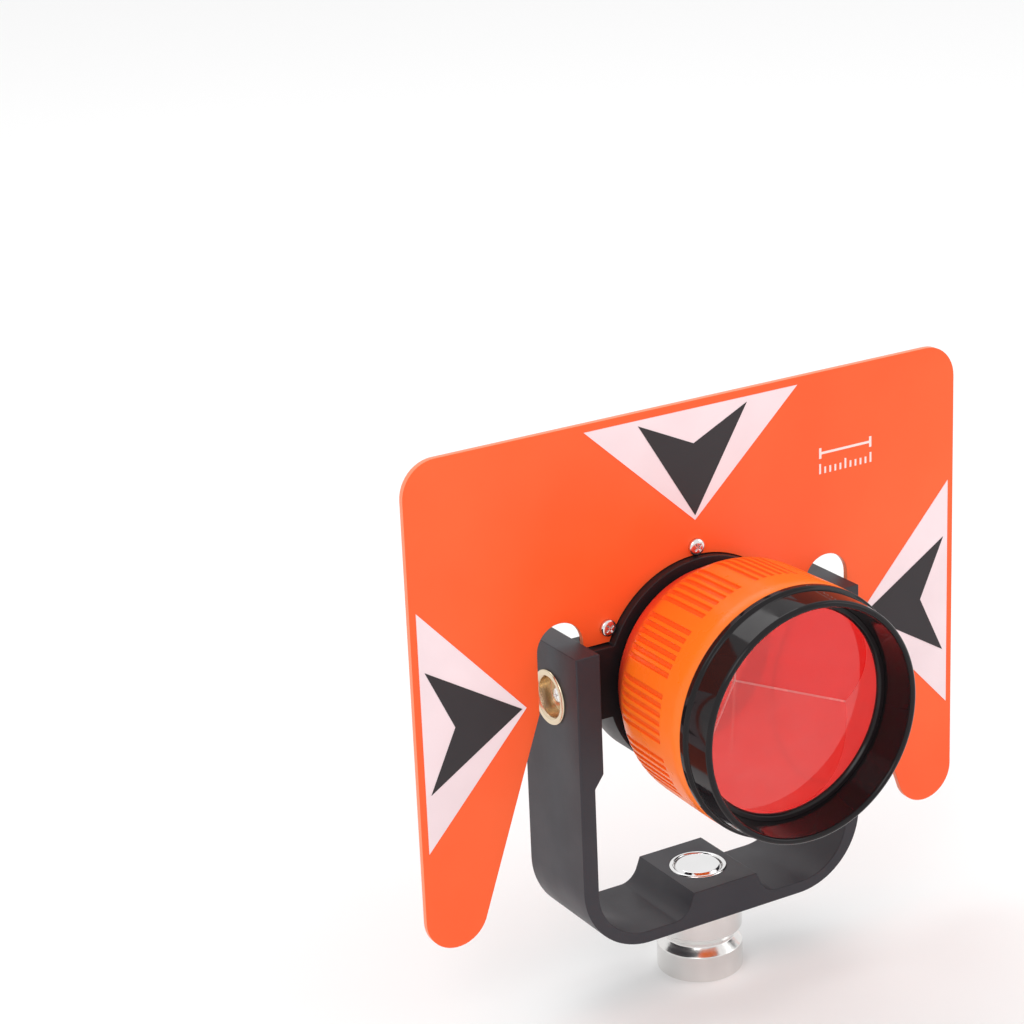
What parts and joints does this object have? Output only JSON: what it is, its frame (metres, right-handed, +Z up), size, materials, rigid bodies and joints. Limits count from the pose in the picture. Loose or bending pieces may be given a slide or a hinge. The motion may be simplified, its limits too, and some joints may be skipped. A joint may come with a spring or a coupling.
{
  "type": "tilting survey prism",
  "caption": "Corner-cube survey prism in a ribbed canister with a target plate, tilting in a U-shaped yoke on a quick-release spigot.",
  "frame": {"origin": "on the spigot's axis, at the face where the yoke seats", "axes": "+Z up along the spigot, +X along the tilt axis and the plate's width, and the prism looks along -Y"},
  "size_m": [0.207, 0.0823, 0.1979],
  "materials": {
    "yoke_coat": "satin charcoal coat",
    "holder_coat": "satin black coat",
    "turned_steel": "turned",
    "bright_steel": "polished",
    "spring_steel": "drawn",
    "screw_steel": "plated",
    "bush_brass": "machined",
    "washer_plastic": "matte",
    "plate_paint": "orange paint",
    "white_film": "satin film",
    "arrow_film": "satin film",
    "mark_ink": "printed",
    "seal_rubber": "matte",
    "shell_paint": "orange paint",
    "neck_metal": "black anodised",
    "hood_gloss": "gloss black",
    "clamp_ring": "satin black",
    "prism_glass": "polished, coated red",
    "seat_plastic": "matte",
    "cap_plastic": "matte"
  },
  "bodies": {
    "yoke_frame": {"yoke": "yoke_coat", "spigot": "turned_steel", "snap_ring": "spring_steel", "button_bezel": "bright_steel", "bush_left": "bush_brass", "bush_right": "bush_brass", "button_spring": "spring_steel"},
    "button": {"release_button": "bright_steel", "button_stem": "turned_steel", "button_clip": "spring_steel"},
    "tilt_head": {"prism_holder": "holder_coat", "pivot_pin_left": "turned_steel", "pivot_pin_right": "turned_steel", "friction_washer_left": "washer_plastic", "friction_washer_right": "washer_plastic", "spring_washer_left": "spring_steel", "spring_washer_right": "spring_steel", "pivot_screw_left": "screw_steel", "pivot_screw_right": "screw_steel", "target_plate": "plate_paint", "plate_screws": "screw_steel", "white_film_top": "white_film", "white_film_left": "white_film", "white_film_right": "white_film", "arrow_film_top": "arrow_film", "arrow_film_left": "arrow_film", "arrow_film_right": "arrow_film", "offset_mark": "mark_ink"},
    "seal_ring": {"canister_seal": "seal_rubber"},
    "canister": {"canister_shell": "shell_paint", "threaded_neck": "neck_metal", "hood_ring": "hood_gloss", "glass_clamp_ring": "clamp_ring", "front_gasket": "seal_rubber", "glass_prism": "prism_glass", "prism_seat": "seat_plastic", "rear_pad": "seal_rubber", "rear_cap": "cap_plastic"}
  },
  "joints": [
    {"name": "head_tilt", "type": "hinge", "parent": "yoke_frame", "child": "tilt_head", "pos_m": [0, 0, 0.0864], "axis": [1, 0, 0], "range_deg": [-37, 29]},
    {"name": "button_press", "type": "slide", "parent": "yoke_frame", "child": "button", "axis": [0, 0, -1], "range_m": [0, 0.002], "stiffness_N_per_m": 1500, "springref_m": -0.004, "deforming": ["button_spring"]},
    {"name": "canister_advance", "type": "slide", "parent": "tilt_head", "child": "seal_ring", "axis": [0, -1, 0], "range_m": [0, 0.00452]},
    {"name": "canister_turn", "type": "hinge", "parent": "seal_ring", "child": "canister", "pos_m": [0, 0, 0.0864], "axis": [0, -1, 0], "range_deg": [0, 1080]}
  ],
  "couplings": [
    {"joint": "canister_advance", "follows": "canister_turn", "m_per_rad": 0.00023873}
  ]
}
